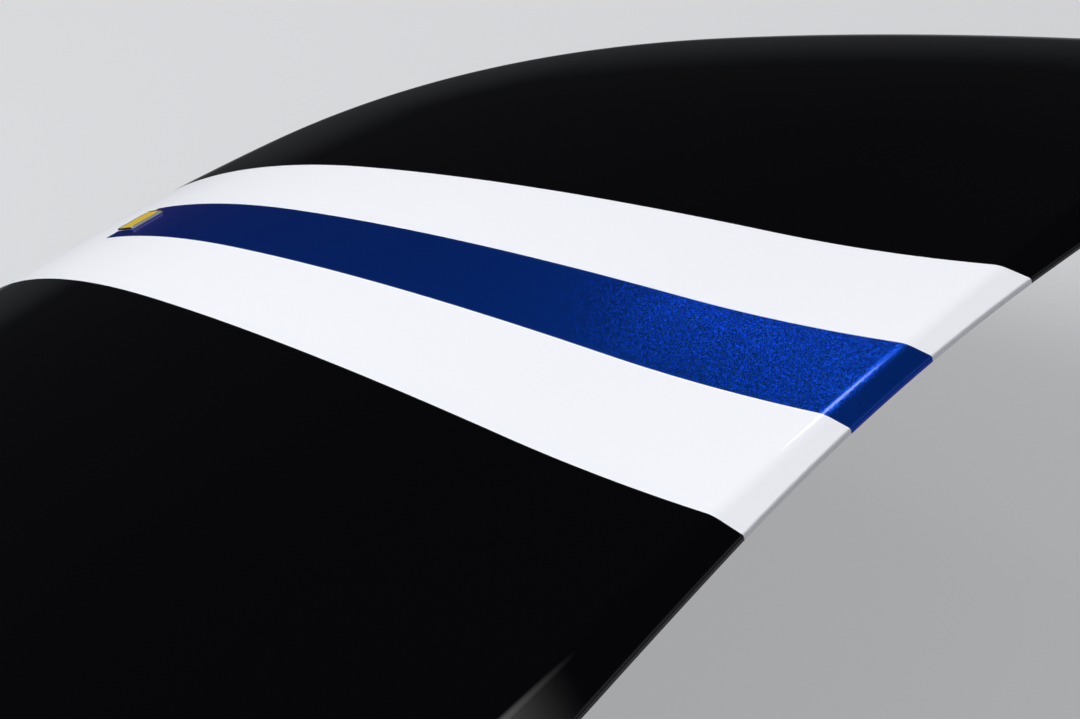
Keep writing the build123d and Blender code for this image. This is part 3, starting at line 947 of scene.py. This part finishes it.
def bulb_seal():
    # Extruded seal: a glued strip with a hollow-looking bulb under it, run along the rear of the floor.
    bulb_r = SEAL_BULB_R
    centre = (SEAL_W / 2, SEAL_H - bulb_r)
    profile = [(0.0, 0.0), (0.0, SEAL_STRIP - 0.8), (0.8, SEAL_STRIP)]
    start = math.asin((centre[1] - SEAL_STRIP - 1.0) / bulb_r)
    for i in range(15):
        angle = math.pi + start - (math.pi + 2 * start) * i / 14
        profile.append((centre[0] + bulb_r * math.cos(angle), centre[1] + bulb_r * math.sin(angle)))
    profile += [(SEAL_W - 0.8, SEAL_STRIP), (SEAL_W, SEAL_STRIP - 0.8), (SEAL_W, 0.0)]
    line = FRAME_REAR_Y - FRAME_INSET - 4
    sections = []
    for i in range(SEAL_STEPS + 1):
        x = -SEAL_HALF + 2 * SEAL_HALF * i / SEAL_STEPS
        y = rear_cut(x, line)
        sections.append([under_lid(x, y - w, FRAME_DEPTH + h) for w, h in profile])
    return skinned("rear_bulb_seal", sections)


STOP_X = 330.0
STOP_Y = -1115.0
STOP_DROP = 86.0


def turned_stops():
    # Rubber stops: a screwed-in shank, a ribbed grip to turn it by, and a cushion that meets the body.
    profile = [(8.0, 0.0), (10.4, 1.2), (11.4, 3.4), (11.4, 9.0), (8.6, 10.4), (8.6, 12.4), (12.2, 13.2)]
    grip = (13.2, 20.0)
    ribs = 24
    low = centre_line(-STOP_Y)[1] - STOP_DROP
    y = CREST_Y + STOP_Y
    pieces = []
    for side in (-1, 1):
        x = side * STOP_X
        sections = []

        def ring(radius, height, ribbed=0.0):
            points = []
            for i in range(2 * ribs):
                angle = math.pi * i / ribs
                r = radius - (ribbed if i % 2 else 0.0)
                points.append(Vector((x + r * math.cos(angle), y + r * math.sin(angle), low + height)))
            return points

        for radius, height in profile:
            sections.append(ring(radius, height))
        for height in grip:
            sections.append(ring(13.0, height + 0.3, 0.9))
        sections.append(ring(11.5, grip[1] + 1.4))
        last = []
        for point in ring(11.5, 0.0):
            last.append(Vector((point.x, point.y, under_lid(point.x, point.y, FRAME_DEPTH).z)))
        sections.append(last)
        pieces.append(skinned("stop", sections))
    return joined("turned_rubber_stops", pieces)


STRIKER_S = 1150.0 * 1.035
SEAT_GAP = 0.6
PLATE_T = 3.5
WIRE_R = 4.0
HOOP_HALF = 22.0
HOOP_DROP = 44.0
HOOP_BEND = 9.0
STRIKER_W = 90.0
STRIKER_L = 46.0


def nose_frame():
    # origin and axes of the latch parts under the nose: across, forward, down
    y, z, a = centre_line(STRIKER_S)
    down = Vector((0.0, math.sin(a), -math.cos(a)))
    forward = Vector((0.0, -math.cos(a), -math.sin(a)))
    return Vector((0.0, y, z)) + down * (FRAME_DEPTH + SEAT_GAP), Vector((1.0, 0.0, 0.0)), forward, down


def bent_striker():
    # Striker: round wire bent into a hoop with full bends, its feet welded to a stamped plate.
    origin, across, forward, down = nose_frame()

    def at(u, v, w):
        return origin + across * u + forward * v + down * w

    edge = 0.6
    plate = []
    for inset, w in ((edge, 0.0), (0.0, edge), (0.0, PLATE_T - edge), (edge, PLATE_T)):
        plan = rounded_rectangle(STRIKER_W - 2 * inset, STRIKER_L - 2 * inset, 8 - inset)
        plate.append([at(u, v, w) for u, v in plan])
    pieces = [skinned("plate", plate, sharp=60.0)]
    # centre line of the wire as point and direction, in the plane of the hoop
    run = [(HOOP_HALF, 0.6, 0.0, 1.0)]
    for side in (1, -1):
        for i in range(9):
            angle = math.pi / 2 * i / 8
            turned = angle if side == 1 else math.pi / 2 - angle
            u = side * (HOOP_HALF - HOOP_BEND + HOOP_BEND * math.cos(turned))
            w = HOOP_DROP - HOOP_BEND + HOOP_BEND * math.sin(turned)
            run.append((u, w, -math.sin(turned), side * math.cos(turned)))
    run.append((-HOOP_HALF, 0.6, 0.0, -1.0))
    wire = []
    for u, w, du, dw in run:
        # the section's own axes: square to the run in the hoop's plane, and forward
        wire.append([at(u + a * dw, b, w - a * du) for a, b in circle(WIRE_R, 20)])
    pieces.append(skinned("wire", wire, sharp=60.0))
    for side in (-1, 1):
        weld = []
        for radius, lift in ((7.2, -0.3), (6.6, 1.0), (4.9, 2.4), (3.9, 3.2)):
            weld.append([at(side * HOOP_HALF + a, b, PLATE_T + lift) for a, b in circle(radius, 24)])
        pieces.append(skinned("weld", weld, sharp=60.0))
    return joined("bent_striker_hoop", pieces)


BADGE_S = 841.0
BADGE_W = 34.0
BADGE_L = 40.0
BADGE_TOP = 2.25


def badge_rim():
    # Bright bezel that holds the enamel of the badge, rolled round its edge.
    y, z, a = centre_line(BADGE_S)
    up = Vector((0.0, -math.sin(a), math.cos(a)))
    forward = Vector((0.0, -math.cos(a), -math.sin(a)))
    crest = BADGE_TOP + 0.45
    steps = ((0.0, 0.2), (0.0, BADGE_TOP), (0.3, crest), (1.1, crest), (1.4, BADGE_TOP), (1.4, 0.2))
    rings = []
    for inset, height in steps:
        plan = rounded_rectangle(BADGE_W + 0.8 - 2 * inset, BADGE_L + 0.8 - 2 * inset, 3.4 - inset)
        rings.append([Vector((u, y, z)) + forward * v + up * height for u, v in plan])
    sections = [[ring[i] for ring in rings] for i in range(len(rings[0]))]
    return skinned("badge_bezel", sections, closed=True, sharp=50.0)


seal = bulb_seal()
dress(seal, "rubber", "bonnet")
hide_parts("rear_seal")
stops_pair = turned_stops()
dress(stops_pair, "rubber", "bonnet")
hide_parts("rubber_stops")
hoop = bent_striker()
dress(hoop, "zinc_steel", "bonnet")
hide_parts("striker")
dress(badge_rim(), "rod_chrome", "bonnet")


# Repeated small pieces, grown by Geometry Nodes

def new_tree(name, sockets):
    # empty tree with named inputs; gives the tree, its input node and the inputs' identifiers
    tree = bpy.data.node_groups.new(name, "GeometryNodeTree")
    tree.interface.new_socket("Geometry", in_out="INPUT", socket_type="NodeSocketGeometry")
    ids = {}
    for label, kind in sockets.items():
        socket = tree.interface.new_socket(label, in_out="INPUT", socket_type="NodeSocket" + kind)
        ids[label] = socket.identifier
    tree.interface.new_socket("Geometry", in_out="OUTPUT", socket_type="NodeSocketGeometry")
    return tree, tree.nodes.new("NodeGroupInput"), ids


def close_tree(tree, source, shape):
    # every tree ends in real geometry with its finish set
    real = add(tree, "GeometryNodeRealizeInstances", {"Geometry": shape})
    painted = add(tree, "GeometryNodeSetMaterial", {
        "Geometry": (real, "Geometry"), "Material": (source, "Finish")})
    add(tree, "NodeGroupOutput", {"Geometry": (painted, "Geometry")})


def point_axis(tree):
    # rotation that stands a piece on its point's own axis
    axis = add(tree, "GeometryNodeInputNamedAttribute", {"Name": "axis"}, data_type="FLOAT_VECTOR")
    return add(tree, "FunctionNodeAlignRotationToVector", {"Vector": (axis, "Attribute")}, axis="Z")


def turned_boss(tree, sides, radius, height, bevel, share):
    # closed prism with a bevelled top; radius, height and bevel come from the tree's inputs
    base = add(tree, "GeometryNodeMeshCircle", {"Vertices": sides, "Radius": radius}, fill_type="NGON")
    wall = add(tree, "GeometryNodeExtrudeMesh", {
        "Mesh": (base, "Mesh"), "Offset Scale": height}, mode="FACES")
    top = add(tree, "GeometryNodeExtrudeMesh", {
        "Mesh": (wall, "Mesh"), "Selection": (wall, "Top"), "Offset Scale": bevel}, mode="FACES")
    drawn = add(tree, "GeometryNodeScaleElements", {
        "Geometry": (top, "Mesh"), "Selection": (top, "Top"), "Scale": share}, domain="FACE")
    under = add(tree, "GeometryNodeFlipFaces", {"Mesh": (base, "Mesh")})
    both = add(tree, "GeometryNodeJoinGeometry", {"Geometry": [(drawn, "Geometry"), (under, "Mesh")]})
    return add(tree, "GeometryNodeMergeByDistance", {"Geometry": (both, "Geometry"), "Distance": 1e-6})


def bolt_tree():
    # flange bolt heads on points, each along the point's own axis and turned at random
    tree, source, ids = new_tree("flange_bolts", {
        "Head Radius": "Float", "Head Height": "Float", "Flange Radius": "Float", "Flange Height": "Float",
        "Bevel": "Float", "Seed": "Int", "Finish": "Material"})
    bevel = (source, "Bevel")
    head = turned_boss(tree, 6, (source, "Head Radius"), (source, "Head Height"), bevel, 0.86)
    flange = turned_boss(tree, 32, (source, "Flange Radius"), (source, "Flange Height"), bevel, 0.84)
    bolt = add(tree, "GeometryNodeJoinGeometry", {"Geometry": [(head, "Geometry"), (flange, "Geometry")]})
    turn = add(tree, "FunctionNodeRandomValue", {
        2: 0.0, 3: math.pi / 3, "Seed": (source, "Seed")}, data_type="FLOAT")
    spin = add(tree, "FunctionNodeAxisAngleToRotation", {"Axis": (0.0, 0.0, 1.0), "Angle": (turn, 1)})
    set_turn = add(tree, "FunctionNodeRotateRotation", {
        "Rotation": (point_axis(tree), "Rotation"), "Rotate By": (spin, "Rotation")}, rotation_space="LOCAL")
    placed = add(tree, "GeometryNodeInstanceOnPoints", {
        "Points": (source, "Geometry"), "Instance": (bolt, "Geometry"), "Rotation": (set_turn, "Rotation")})
    close_tree(tree, source, (placed, "Instances"))
    return tree, ids


def bead_tree():
    # bead of sealer along the edges of a mesh, its thickness wandering as a hand's does
    tree, source, ids = new_tree("sealer_bead", {
        "Bead Radius": "Float", "Wander": "Float", "Wave Length": "Float", "Finish": "Material"})
    curve = add(tree, "GeometryNodeMeshToCurve", {"Mesh": (source, "Geometry")})
    place = add(tree, "GeometryNodeInputPosition")
    waves = add(tree, "ShaderNodeMath", {0: 1.0, 1: (source, "Wave Length")}, operation="DIVIDE")
    noise = add(tree, "ShaderNodeTexNoise", {
        "Vector": (place, "Position"), "Scale": (waves, "Value"), "Detail": 1.0})
    low = add(tree, "ShaderNodeMath", {0: 1.0, 1: (source, "Wander")}, operation="SUBTRACT")
    high = add(tree, "ShaderNodeMath", {0: 1.0, 1: (source, "Wander")}, operation="ADD")
    width = add(tree, "ShaderNodeMapRange", {
        "Value": (noise, "Fac"), "From Min": 0.3, "From Max": 0.7, "To Min": (low, "Value"),
        "To Max": (high, "Value")})
    wavy = add(tree, "GeometryNodeSetCurveRadius", {"Curve": (curve, "Curve"), "Radius": (width, "Result")})
    ring = add(tree, "GeometryNodeCurvePrimitiveCircle", {"Resolution": 8, "Radius": (source, "Bead Radius")})
    radius = add(tree, "GeometryNodeInputRadius")
    bead = add(tree, "GeometryNodeCurveToMesh", {
        "Curve": (wavy, "Curve"), "Profile Curve": (ring, "Curve"), "Scale": (radius, "Radius"),
        "Fill Caps": True})
    close_tree(tree, source, (bead, "Mesh"))
    return tree, ids


def dab_tree():
    # soft dabs of mastic on points, flattened along the point's axis and none quite like the next
    tree, source, ids = new_tree("mastic_dabs", {
        "Dab Radius": "Float", "Dab Height": "Float", "Seed": "Int", "Finish": "Material"})
    ball = add(tree, "GeometryNodeMeshIcoSphere", {"Radius": 1.0, "Subdivisions": 3})
    size = add(tree, "ShaderNodeCombineXYZ", {
        "X": (source, "Dab Radius"), "Y": (source, "Dab Radius"), "Z": (source, "Dab Height")})
    dab = add(tree, "GeometryNodeTransform", {"Geometry": (ball, "Mesh"), "Scale": (size, "Vector")})
    swell = add(tree, "FunctionNodeRandomValue", {
        0: (0.8, 0.75, 0.9), 1: (1.2, 1.25, 1.1), "Seed": (source, "Seed")}, data_type="FLOAT_VECTOR")
    placed = add(tree, "GeometryNodeInstanceOnPoints", {
        "Points": (source, "Geometry"), "Instance": (dab, "Geometry"), "Scale": (swell, 0),
        "Rotation": (point_axis(tree), "Rotation")})
    close_tree(tree, source, (placed, "Instances"))
    return tree, ids


def grow(name, points, axes, edges, tree, ids, values, slot_name, body, sharp):
    # run a tree on points in millimetres and keep the result as a plain mesh
    seed_mesh = bpy.data.meshes.new(name)
    seed_mesh.from_pydata([p * MM for p in points], edges, [])
    if axes:
        layer = seed_mesh.attributes.new("axis", "FLOAT_VECTOR", "POINT")
        layer.data.foreach_set("vector", [c for axis in axes for c in axis])
    carrier = show(name + "_seed", seed_mesh)
    modifier = carrier.modifiers.new("grow", "NODES")
    modifier.node_group = tree
    for label, value in values.items():
        modifier[ids[label]] = value
    modifier[ids["Finish"]] = FINISHES[slot_name]
    graph = bpy.context.evaluated_depsgraph_get()
    mesh = bpy.data.meshes.new_from_object(carrier.evaluated_get(graph), depsgraph=graph)
    mesh.name = name
    bpy.data.objects.remove(carrier)
    smooth(mesh, sharp)
    dress(show(name, mesh), slot_name, body)


PIN_Y = 10.0
BASE_T = 4.0
BOLT_X = 447.0
BOLT_HALF_Y = 35.0
ARM_PAD = (380.0, PIN_Y - 192.0, 32.0)
BRACKET_PAD = (386.0, PIN_Y - 440.0, 20.0)
# Bolts of the striker and of the safety hook, and the outer edge of the hook's plate.
STRIKER_BOLT_X = 35.0
HOOK_BOLT_X = 64.0
HOOK_BOLT_HALF = 12.0
HOOK_EDGE_X = 72.0
# Spacing of the sealer's points, and depths of sealer and mastic.
SEALER_STEP = 9.0
SEALER_DEPTH = 3.0
MASTIC_DEPTH = 1.4

up = Vector((0.0, 0.0, 1.0))
foot_bolts = [Vector((x, y, BASE_T)) for x in (-BOLT_X, BOLT_X) for y in (-BOLT_HALF_Y, BOLT_HALF_Y)]
pad_bolts, pad_axes = [], []
for pad_x, pad_y, half in (ARM_PAD, BRACKET_PAD):
    for x in (-pad_x, pad_x):
        for y in (pad_y - half, pad_y + half):
            place, outward = skin_point(x, along_skin(x, y), FRAME_DEPTH + PLATE_T)
            pad_bolts.append(place)
            pad_axes.append(-outward)
origin, across, forward, down = nose_frame()
small_bolts = [origin + across * u + down * PLATE_T for u in (-STRIKER_BOLT_X, STRIKER_BOLT_X)]
hook_drop = PLATE_T + HOOK_EDGE_X ** 2 / (2 * CAMBER_R)
for v in (-HOOK_BOLT_HALF, HOOK_BOLT_HALF):
    small_bolts.append(origin + across * HOOK_BOLT_X + forward * v + down * hook_drop)

bolts, bolt_ids = bolt_tree()
m8 = {"Head Radius": 7.5 * MM, "Head Height": 6.6 * MM, "Flange Radius": 8.8 * MM, "Flange Height": 1.2 * MM,
      "Bevel": 0.7 * MM, "Seed": 3}
m6 = {"Head Radius": 5.6 * MM, "Head Height": 4.6 * MM, "Flange Radius": 6.8 * MM, "Flange Height": 0.9 * MM,
      "Bevel": 0.5 * MM, "Seed": 5}
grow("hinge_foot_bolts", foot_bolts, [up] * 4, [], bolts, bolt_ids, m8, "zinc_steel", "body_side", 25.0)
grow("lid_pad_bolts", pad_bolts, pad_axes, [], bolts, bolt_ids, m8, "zinc_steel", "bonnet", 25.0)
grow("latch_bolts", small_bolts, [down] * 4, [], bolts, bolt_ids, m6, "zinc_steel", "bonnet", 25.0)

# sealer along the inner edge of the hem, on the sides and the front
hem_line = inner_line(HEM_W + 0.7, FRAME_REAR_Y - 4.0)
path = []
for a, b in zip(hem_line, hem_line[1:]):
    count = max(1, round((b - a).length / SEALER_STEP))
    path += [a.lerp(b, i / count) for i in range(count)]
path.append(hem_line[-1])
bead_points = [under_lid(p.x, p.y, SEALER_DEPTH) for p in path]
beads, bead_ids = bead_tree()
grow("hem_sealer", bead_points, None, [(i, i + 1) for i in range(len(path) - 1)], beads, bead_ids,
     {"Bead Radius": 1.5 * MM, "Wander": 0.22, "Wave Length": 22.0 * MM}, "black_paint", "bonnet", 60.0)

# mastic between the turned-up edges of the openings and the skin
dab_points, dab_axes = [], []
for rear, front, in_rear, out_rear, in_front, out_front in OPENINGS:
    for side in ((1,) if in_rear < 0 else (-1, 1)):
        for along in (0.25, 0.5, 0.75):
            y = rear + (front - rear) * along
            inner = in_rear + (in_front - in_rear) * along + RIM_REACH
            outer = out_rear + (out_front - out_rear) * along - RIM_REACH
            for x in (inner, outer):
                place, outward = skin_point(side * x, along_skin(x, CREST_Y + y), SKIN_T + MASTIC_DEPTH)
                dab_points.append(place)
                dab_axes.append(outward)
dabs, dab_ids = dab_tree()
grow("mastic_dabs", dab_points, dab_axes, [], dabs, dab_ids,
     {"Dab Radius": 7.5 * MM, "Dab Height": 1.7 * MM, "Seed": 11}, "rubber", "bonnet", 60.0)


# Crimped ends of the gas struts

PIN_Z = 65.0
STRUT_X = 431.0
STRUT_LOW = (PIN_Y - 50.0, PIN_Z - 36.0)
STRUT_TOP = (PIN_Y - 440.0, PIN_Z - 60.0)
TUBE_R = 9.0
TUBE_FOOT = 12.5
STROKE_SHOWN = 44.0
# How far in from the tube's ends a crimp sits, and its section as rise over the tube and place along it.
CRIMP_IN = 9.0
CRIMP = ((-0.2, 0.0), (0.45, 0.7), (0.6, 1.6), (0.45, 2.5), (-0.2, 3.2))


def strut_crimps(side):
    # rolled neck at the open end of the tube, a bead near its foot
    low = Vector((side * STRUT_X, *STRUT_LOW))
    line = Vector((side * STRUT_X, *STRUT_TOP)) - low
    length = line.length - STROKE_SHOWN
    line = line.normalized()
    across = Vector((1.0, 0.0, 0.0))
    upright = line.cross(across)
    rings = []
    for first, sign in ((TUBE_FOOT + CRIMP_IN, 1), (length - CRIMP_IN, -1)):
        sections = []
        for rise, along in CRIMP:
            middle = low + line * (first + sign * along)
            sections.append([middle + across * a + upright * b for a, b in circle(TUBE_R + rise, 28)])
        rings.append(skinned("crimp", sections, sharp=70.0))
    return joined("strut_crimps_" + ("left" if side > 0 else "right"), rings)


for side, word in ((1, "left"), (-1, "right")):
    dress(strut_crimps(side), "strut_paint", "strut_tube_" + word)


# Floor, light and camera

FLOOR_Z = -0.30
FLOOR_REACH = 30.0
BACKDROP = "E3E4E6"


def split_rays(tree, kind, plain, camera, gloss):
    # one shader lights the scene, one is seen by the camera and one by gloss
    path = add(tree, "ShaderNodeLightPath")
    seen = add(tree, "ShaderNodeMixShader", {0: (path, "Is Camera Ray"), 1: plain, 2: camera})
    mixed = add(tree, "ShaderNodeMixShader", {0: (path, "Is Glossy Ray"), 1: (seen, "Shader"), 2: gloss})
    add(tree, kind, {"Surface": (mixed, "Shader")})


def studio_floor():
    # matt pale paper; the lacquer sees it dimmer than the eye does, so black stays deep
    material, tree = new_material("matt_paper_floor")
    pale = add(tree, "ShaderNodeBsdfDiffuse", {"Color": linear("C8C9CB")})
    # gloss sees the lit patch under the lid fade out to a dark studio
    coords = add(tree, "ShaderNodeTexCoord")
    away = add(tree, "ShaderNodeVectorMath", {
        0: (coords, "Object"), 1: (0.0, -0.5, FLOOR_Z)}, operation="DISTANCE")
    fade = add(tree, "ShaderNodeMapRange", {"Value": (away, "Value"), "From Min": 0.8, "From Max": 1.5},
               interpolation_type="SMOOTHSTEP")
    tone = add(tree, "ShaderNodeMix", {0: (fade, "Result"), 6: linear("C8C9CB"), 7: linear("303133")},
               data_type="RGBA")
    dim = add(tree, "ShaderNodeBsdfDiffuse", {"Color": (tone, 2)})
    # far off, the paper runs up into the backdrop without a line
    far = add(tree, "ShaderNodeMapRange", {
        "Value": (away, "Value"), "From Min": 1.0, "From Max": 6.0, "To Min": 0.45, "To Max": 1.0},
        interpolation_type="SMOOTHSTEP")
    glow = add(tree, "ShaderNodeEmission", {"Color": linear(BACKDROP), "Strength": 1.0})
    lifted = add(tree, "ShaderNodeMixShader", {0: (far, "Result"), 1: (pale, "BSDF"), 2: (glow, "Emission")})
    split_rays(tree, "ShaderNodeOutputMaterial", (pale, "BSDF"), (lifted, "Shader"), (dim, "BSDF"))
    mesh = bpy.data.meshes.new("studio_floor")
    corners = [(x * FLOOR_REACH, y * FLOOR_REACH, FLOOR_Z) for x, y in ((-1, -1), (1, -1), (1, 1), (-1, 1))]
    mesh.from_pydata(corners, [], [(0, 1, 2, 3)])
    mesh.materials.append(material)
    floor = show("studio_floor", mesh)


def soft_lamp(name, toward, distance, width, power, aim):
    # round softbox that faces the lid and fades to its rim, so that gloss shows no hard edge of it
    data = bpy.data.lights.new(name, "AREA")
    data.shape = "DISK"
    data.size = width
    data.energy = power
    data.use_nodes = True
    tree = data.node_tree
    tree.nodes.clear()
    cloth = add(tree, "ShaderNodeNewGeometry")
    out = add(tree, "ShaderNodeVectorMath", {
        0: (cloth, "Parametric"), 1: (0.5, 0.5, 0.0)}, operation="DISTANCE")
    fade = add(tree, "ShaderNodeMapRange", {
        "Value": (out, "Value"), "From Min": 0.12, "From Max": 0.5, "To Min": 2.42, "To Max": 0.0},
        interpolation_type="SMOOTHSTEP")
    glow = add(tree, "ShaderNodeEmission", {"Strength": (fade, "Result")})
    add(tree, "ShaderNodeOutputLight", {"Surface": (glow, "Emission")})
    lamp = bpy.data.objects.new(name, data)
    way = Vector(toward).normalized()
    lamp.location = Vector(aim) + way * distance
    lamp.rotation_euler = way.to_track_quat("Z", "Y").to_euler()
    scene.collection.objects.link(lamp)


def studio_world():
    world = bpy.data.worlds.new("studio")
    scene.world = world
    world.use_nodes = True
    tree = world.node_tree
    tree.nodes.clear()
    light = add(tree, "ShaderNodeBackground", {"Color": linear("F2F4F8"), "Strength": 0.36})
    pale = add(tree, "ShaderNodeBackground", {"Color": linear(BACKDROP), "Strength": 1.0})
    # gloss sees a dark studio with a soft pale wall behind the rear edge of the lid
    coords = add(tree, "ShaderNodeTexCoord")
    toward = add(tree, "ShaderNodeVectorMath", {
        0: (coords, "Generated"), 1: (0.0, 0.82, 0.57)}, operation="DOT_PRODUCT")
    wall = add(tree, "ShaderNodeMapRange", {
        "Value": (toward, "Value"), "From Min": 0.25, "From Max": 0.95, "To Min": 0.012, "To Max": 0.4},
        interpolation_type="SMOOTHSTEP")
    dark = add(tree, "ShaderNodeBackground", {"Color": linear("F2F4F8"), "Strength": (wall, "Result")})
    split_rays(
        tree, "ShaderNodeOutputWorld", (light, "Background"), (pale, "Background"), (dark, "Background"))


def photo_camera():
    # place, rows of its axes and focal length solved from the edges of the stripes
    data = bpy.data.cameras.new("photo_camera")
    data.sensor_width = 36.0
    data.lens = 45.906
    data.clip_start = 0.01
    data.clip_end = 100.0
    camera = bpy.data.objects.new("photo_camera", data)
    right = Vector((-0.72277237, 0.64558335, -0.24662164))
    up = Vector((-0.52914718, -0.28742778, 0.79836616))
    back = Vector((0.44452599, 0.70753615, 0.54935347))
    place = Matrix((right, up, back)).transposed().to_4x4()
    place.translation = Vector((0.36132, 0.23885, 0.51657))
    camera.matrix_world = place
    scene.collection.objects.link(camera)
    scene.camera = camera


studio_floor()
studio_world()
soft_lamp("crest_softbox", (-0.56, -0.62, 0.55), 3.4, 0.62, 5.8, (0.015, -0.09, 0.149))
soft_lamp("top_softbox", (0.25, -0.42, 0.87), 5.0, 5.4, 222.0, (0.0, -0.45, 0.05))
photo_camera()
